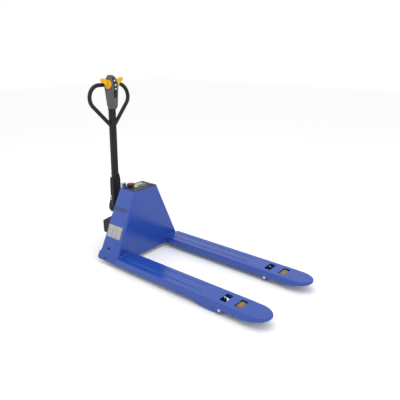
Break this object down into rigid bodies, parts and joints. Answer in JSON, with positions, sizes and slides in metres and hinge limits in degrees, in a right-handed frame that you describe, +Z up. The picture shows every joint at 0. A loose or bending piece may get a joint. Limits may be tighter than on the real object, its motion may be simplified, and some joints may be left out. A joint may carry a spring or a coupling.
{
  "type": "electric pallet truck",
  "caption": "Walk-behind electric pallet truck: long flat forks on a tapered hood, with a steered drive wheel and an upright tiller carrying a loop handle.",
  "frame": {"origin": "on the floor, at the middle of the overall length and width, forks lowered", "axes": "+X towards the fork tips, +Y to the left of someone facing the forks from the tiller, +Z up"},
  "size_m": [1.704, 0.685, 1.361],
  "materials": {
    "blue_paint": "gloss",
    "black_paint": "satin",
    "bright_steel": "machined",
    "cast_hub": "cast",
    "motor_iron": "matt",
    "tyre_rubber": "matt",
    "roller_tread": "satin",
    "loop_rubber": "satin",
    "head_plastic": "grained",
    "black_plastic": "satin",
    "console_plastic": "satin",
    "tank_plastic": "translucent look",
    "pale_plastic": "satin",
    "inlet_blue": "gloss",
    "stop_red": "gloss",
    "paddle_yellow": "gloss",
    "key_metal": "polished",
    "label_face": "printed"
  },
  "bodies": {
    "power_unit": {"power_frame": "black_paint", "steering_bearing": "bright_steel", "drive_guard": "black_paint", "guard_screws": "bright_steel", "lift_cylinder": "bright_steel", "pump_motor": "motor_iron", "oil_tank": "tank_plastic"},
    "chassis": {"hood_shell": "blue_paint", "hood_rear_cover": "blue_paint", "fork_left": "blue_paint", "fork_right": "blue_paint", "fork_tip_left": "blue_paint", "fork_tip_right": "blue_paint", "link_shafts": "bright_steel", "console_panel": "console_plastic", "console_screws": "bright_steel", "gauge_bezel": "pale_plastic", "battery_gauge": "black_plastic", "key_switch": "black_plastic", "emergency_stop_base": "black_plastic", "charge_inlet_box": "pale_plastic", "charge_inlet_cap": "inlet_blue", "battery_tray": "black_paint", "batteries": "black_plastic", "motor_controller": "cast_hub", "horn": "black_plastic", "data_plate": "label_face", "lift_head": "black_paint", "lift_ram": "bright_steel", "rocker_shaft": "bright_steel"},
    "rocker": {"rocker_beam": "black_paint", "rocker_rod_pins": "bright_steel"},
    "push_rods": {"push_rods": "black_paint"},
    "load_links": {"load_links": "black_paint", "link_rod_pins": "bright_steel", "roller_axles": "bright_steel", "roller_bearings": "bright_steel"},
    "roller_left": {"load_roller_left": "roller_tread"},
    "roller_right": {"load_roller_right": "roller_tread"},
    "steering": {"wheel_fork": "black_paint", "drive_axle": "bright_steel", "motor_stator": "motor_iron", "tiller_bracket": "black_paint"},
    "drive_wheel": {"drive_hub": "cast_hub", "drive_tyre": "tyre_rubber"},
    "tiller": {"tiller_socket": "black_paint", "tiller_tube": "black_paint", "loop_handle": "loop_rubber", "tiller_pin": "bright_steel", "head_front_cover": "head_plastic", "head_rear_cover": "head_plastic", "control_strip": "black_plastic"},
    "throttle": {"throttle_paddles": "paddle_yellow"},
    "belly_button": {"belly_button": "stop_red"},
    "raise_button": {"raise_button": "pale_plastic"},
    "lower_button": {"lower_button": "pale_plastic"},
    "horn_button": {"horn_button": "pale_plastic"},
    "speed_button": {"speed_button": "black_plastic"},
    "emergency_stop": {"emergency_stop_button": "stop_red"},
    "key": {"key_plug": "key_metal"}
  },
  "joints": [
    {"name": "lift", "type": "slide", "parent": "power_unit", "child": "chassis", "axis": [0, 0, 1], "range_m": [0, 0.105]},
    {"name": "rocker_turn", "type": "hinge", "parent": "chassis", "child": "rocker", "pos_m": [-0.54, 0, 0.117], "axis": [0, -1, 0], "range_deg": [0, 44.06]},
    {"name": "push_rod_slide", "type": "slide", "parent": "chassis", "child": "push_rods", "axis": [1, 0, 0], "range_m": [0, 0.0375]},
    {"name": "load_link_turn", "type": "hinge", "parent": "chassis", "child": "load_links", "pos_m": [0.527, 0, 0.033], "axis": [0, 1, 0], "range_deg": [0, 68.17]},
    {"name": "roller_left_spin", "type": "hinge", "parent": "load_links", "child": "roller_left", "pos_m": [0.6347, 0.2625, 0.041], "axis": [0, 1, 0], "continuous": true},
    {"name": "roller_right_spin", "type": "hinge", "parent": "load_links", "child": "roller_right", "pos_m": [0.6347, -0.2625, 0.041], "axis": [0, 1, 0], "continuous": true},
    {"name": "steer", "type": "hinge", "parent": "power_unit", "child": "steering", "pos_m": [-0.714, 0, 0.24], "axis": [0, 0, 1], "range_deg": [-90, 90]},
    {"name": "drive_wheel_spin", "type": "hinge", "parent": "steering", "child": "drive_wheel", "pos_m": [-0.714, 0, 0.1], "axis": [0, 1, 0], "continuous": true},
    {"name": "tiller_tilt", "type": "hinge", "parent": "steering", "child": "tiller", "pos_m": [-0.799, 0, 0.315], "axis": [0, -1, 0], "range_deg": [0, 80], "stiffness_Nm_per_rad": 45, "springref_deg": -20.05},
    {"name": "throttle_turn", "type": "hinge", "parent": "tiller", "child": "throttle", "pos_m": [-0.73395, 0, 1.29786], "axis": [0, 1, 0], "range_deg": [-20, 20], "stiffness_Nm_per_rad": 1.2},
    {"name": "belly_press", "type": "slide", "parent": "tiller", "child": "belly_button", "axis": [-0.0366, 0, -0.9993], "range_m": [0, 0.004], "stiffness_N_per_m": 900},
    {"name": "raise_press", "type": "slide", "parent": "tiller", "child": "raise_button", "axis": [-0.9233, 0, -0.3841], "range_m": [0, 0.002], "stiffness_N_per_m": 900},
    {"name": "lower_press", "type": "slide", "parent": "tiller", "child": "lower_button", "axis": [-0.9929, 0, -0.1189], "range_m": [0, 0.002], "stiffness_N_per_m": 900},
    {"name": "horn_press", "type": "slide", "parent": "tiller", "child": "horn_button", "axis": [-0.9918, 0, 0.1279], "range_m": [0, 0.002], "stiffness_N_per_m": 900},
    {"name": "speed_press", "type": "slide", "parent": "tiller", "child": "speed_button", "axis": [-0.9918, 0, 0.1279], "range_m": [0, 0.002], "stiffness_N_per_m": 900},
    {"name": "emergency_stop_press", "type": "slide", "parent": "chassis", "child": "emergency_stop", "axis": [0, 0, -1], "range_m": [0, 0.004], "stiffness_N_per_m": 2500},
    {"name": "key_turn", "type": "hinge", "parent": "chassis", "child": "key", "pos_m": [-0.464, 0.084, 0.545], "axis": [0, 0, -1], "range_deg": [0, 60]}
  ],
  "couplings": [
    {"joint": "rocker_turn", "follows": "lift", "rad_per_m": 7.3218},
    {"joint": "push_rod_slide", "follows": "lift", "ratio": 0.35714},
    {"joint": "load_link_turn", "follows": "lift", "rad_per_m": 11.33}
  ]
}
